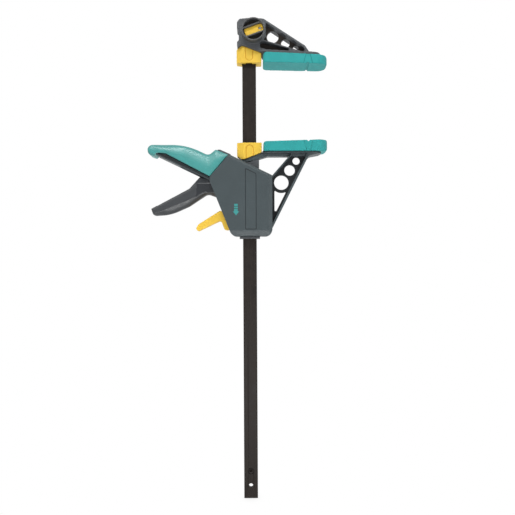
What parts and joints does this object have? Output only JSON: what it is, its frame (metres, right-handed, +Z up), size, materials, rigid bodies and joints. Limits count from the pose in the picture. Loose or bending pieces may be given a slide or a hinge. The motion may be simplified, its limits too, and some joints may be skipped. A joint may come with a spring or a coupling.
{
  "type": "quick release bar clamp",
  "caption": "One-handed bar clamp: flat steel bar, lockable fixed jaw, sliding jaw with pistol grip, squeeze trigger, release lever and soft grooved pads.",
  "frame": {"origin": "centre of the fixed pad's clamping face", "axes": "+Z up along the bar away from the moving jaw, +X from the bar out to the jaw tips, -Y to the side that carries the lock knob"},
  "size_m": [0.2612, 0.0442, 0.6996],
  "materials": {
    "bar_steel": "brownish black oxide",
    "dark_plastic": "fine matte texture",
    "teal_soft": "matte soft-touch",
    "teal_plastic": "matte inlay",
    "yellow_plastic": "satin",
    "steel": "zinc plated"
  },
  "bodies": {
    "bar_and_fixed_jaw": {"bar": "bar_steel", "stop_screw": "bar_steel", "fixed_jaw": "dark_plastic", "fixed_pad": "teal_soft", "fixed_spacer": "yellow_plastic"},
    "knob": {"lock_knob": "dark_plastic", "knob_insert": "yellow_plastic", "insert_screw": "steel", "lock_spindle": "steel", "spindle_clip": "steel"},
    "moving_jaw": {"housing": "dark_plastic", "rear_cover": "dark_plastic", "cover_screws": "steel", "grip_cover": "teal_soft", "moving_pad": "teal_soft", "moving_spacer": "yellow_plastic", "upper_guide": "dark_plastic", "lower_guide": "dark_plastic", "direction_arrow": "teal_plastic", "trigger_pin": "steel", "release_pin": "steel", "fulcrum_pin": "steel", "spring_seat": "steel", "drive_spring": "steel", "brake_spring": "steel"},
    "trigger": {"trigger": "dark_plastic"},
    "drive_plates": {"drive_plate_upper": "steel", "drive_plate_lower": "steel"},
    "release_lever": {"release_lever": "yellow_plastic"},
    "brake_plate": {"brake_plate": "steel"}
  },
  "joints": [
    {"name": "jaw_slide", "type": "slide", "parent": "bar_and_fixed_jaw", "child": "moving_jaw", "axis": [0, 0, 1], "range_m": [-0.3355, 0.1084]},
    {"name": "knob_turn", "type": "hinge", "parent": "bar_and_fixed_jaw", "child": "knob", "pos_m": [-0.0604, 0, 0.0465], "axis": [0, 1, 0], "range_deg": [-90, 0]},
    {"name": "trigger_pull", "type": "hinge", "parent": "moving_jaw", "child": "trigger", "pos_m": [-0.1069, 0, -0.1693], "axis": [0, 1, 0], "range_deg": [0, 30], "stiffness_Nm_per_rad": 0.4, "springref_deg": -14.32},
    {"name": "drive_plate_push", "type": "slide", "parent": "moving_jaw", "child": "drive_plates", "axis": [0, 0, -1], "range_m": [0, 0.0129], "deforming": ["drive_spring"]},
    {"name": "release_pull", "type": "hinge", "parent": "moving_jaw", "child": "release_lever", "pos_m": [-0.0949, 0, -0.2243], "axis": [0, 1, 0], "range_deg": [0, 14], "stiffness_Nm_per_rad": 0.2, "springref_deg": -14.32},
    {"name": "brake_plate_tilt", "type": "hinge", "parent": "moving_jaw", "child": "brake_plate", "pos_m": [-0.0459, 0, -0.2297], "axis": [0, 1, 0], "range_deg": [-5, 0], "deforming": ["brake_spring"]}
  ],
  "couplings": [
    {"joint": "drive_plate_push", "follows": "trigger_pull", "m_per_rad": 0.02445},
    {"joint": "brake_plate_tilt", "follows": "release_pull", "ratio": -0.34}
  ]
}
